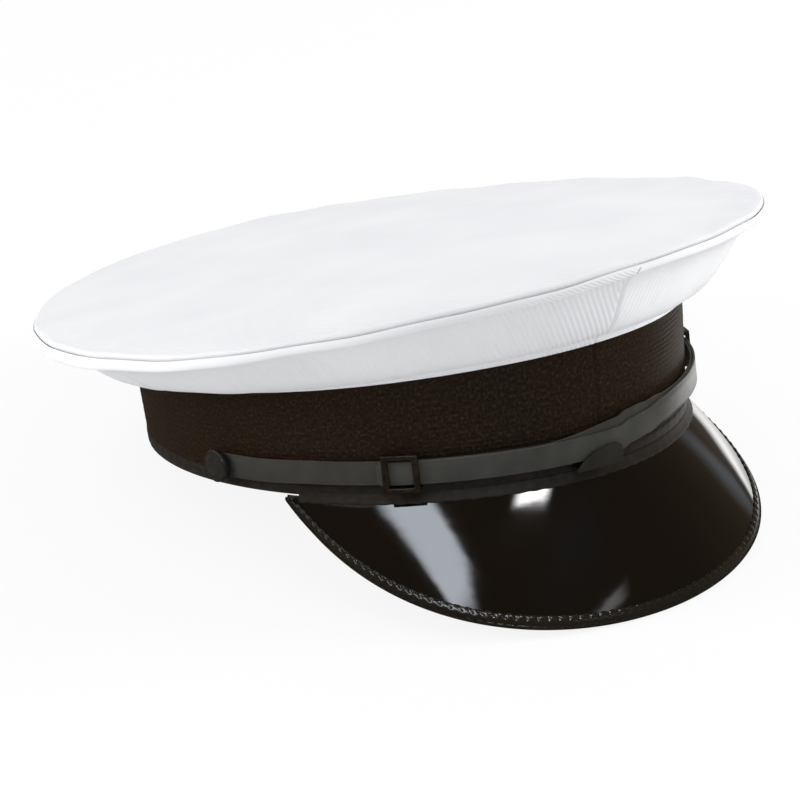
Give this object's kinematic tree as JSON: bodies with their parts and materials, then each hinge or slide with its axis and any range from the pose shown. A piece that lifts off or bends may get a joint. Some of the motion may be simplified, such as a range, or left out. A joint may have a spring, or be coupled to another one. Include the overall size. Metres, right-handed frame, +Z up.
{
  "type": "peaked cap",
  "caption": "Military peaked cap: wide white ribbed crown over a black mohair band, glossy black visor and a black chin strap with slides and side buttons.",
  "frame": {"origin": "centre of the head opening, in the plane of the band's lower edge", "axes": "+Z up through the crown, -Y towards the visor, -X towards the wearer's right"},
  "size_m": [0.254, 0.261, 0.1214],
  "materials": {
    "white_twill": "ribbed cotton twill, matt",
    "white_welt": "folded cotton welt, matt",
    "mohair": "black mohair braid, fine cross ribs, low sheen",
    "binding": "smooth black binding, satin",
    "stiffener": "stiff board, matt",
    "buckram": "stiffened open cloth, matt",
    "sweat_leather": "smooth dark brown sweatband leather, satin",
    "reed": "black covered reed, matt",
    "lining_tape": "black woven tape, matt",
    "spring_steel": "brushed spring strip",
    "eyelet_metal": "dull brass",
    "patent": "black patent leather, mirror gloss",
    "patent_binding": "black patent binding, high gloss",
    "visor_board": "pressed fibre board, matt",
    "visor_under": "black embossed underside, satin",
    "hoop_plastic": "white plastic spring hoop, matt",
    "strap_leather": "dark grey black strap, satin",
    "gunmetal": "dark gunmetal, satin",
    "button_black": "black horn finish, satin gloss"
  },
  "bodies": {
    "frame": {"band_stiffener": "stiffener", "mohair_band": "mohair", "base_binding": "binding", "crown_collar": "buckram", "sweatband": "sweat_leather", "sweatband_reed": "reed", "sweatband_tape": "lining_tape", "front_stay": "spring_steel", "stay_pocket": "lining_tape", "eyelet_left": "eyelet_metal", "eyelet_right": "eyelet_metal", "strap_rest_tab": "strap_leather", "visor_shell": "patent", "visor_core": "visor_board", "visor_lining": "visor_under", "visor_edge_binding": "patent_binding"},
    "cover": {"crown_top": "white_twill", "quarter_front_left": "white_twill", "quarter_front_right": "white_twill", "quarter_back_left": "white_twill", "quarter_back_right": "white_twill", "rim_welt": "white_welt", "cover_hem": "white_twill", "grommet_hoop": "hoop_plastic", "grommet_ferrule": "eyelet_metal"},
    "chin_strap": {"strap_inner": "strap_leather", "strap_outer": "strap_leather"},
    "slide_left": {"slide_left": "gunmetal"},
    "slide_right": {"slide_right": "gunmetal"},
    "button_left": {"button_left_cap": "button_black", "button_left_shank": "eyelet_metal", "button_left_washer": "eyelet_metal"},
    "button_right": {"button_right_cap": "button_black", "button_right_shank": "eyelet_metal", "button_right_washer": "eyelet_metal"}
  },
  "joints": [
    {"name": "cover_lift", "type": "slide", "parent": "frame", "child": "cover", "axis": [0, 0, 1], "range_m": [0, 0.09]},
    {"name": "strap_swing", "type": "hinge", "parent": "frame", "child": "chin_strap", "pos_m": [0, -0.0085, 0.0085], "axis": [-1, 0, 0], "range_deg": [0, 2]},
    {"name": "slide_left_travel", "type": "hinge", "parent": "chin_strap", "child": "slide_left", "pos_m": [-0.01544, -0.00985, 0.0137], "axis": [0, 0, -1], "range_deg": [0, 20]},
    {"name": "slide_right_travel", "type": "hinge", "parent": "chin_strap", "child": "slide_right", "pos_m": [0.01544, -0.00985, 0.0093], "axis": [0, 0, 1], "range_deg": [0, 20]},
    {"name": "button_left_spin", "type": "hinge", "parent": "frame", "child": "button_left", "pos_m": [0.09, -0.0085, 0.0085], "axis": [1, 0, 0], "continuous": true},
    {"name": "button_right_spin", "type": "hinge", "parent": "frame", "child": "button_right", "pos_m": [-0.09, -0.0085, 0.0085], "axis": [-1, 0, 0], "continuous": true}
  ]
}
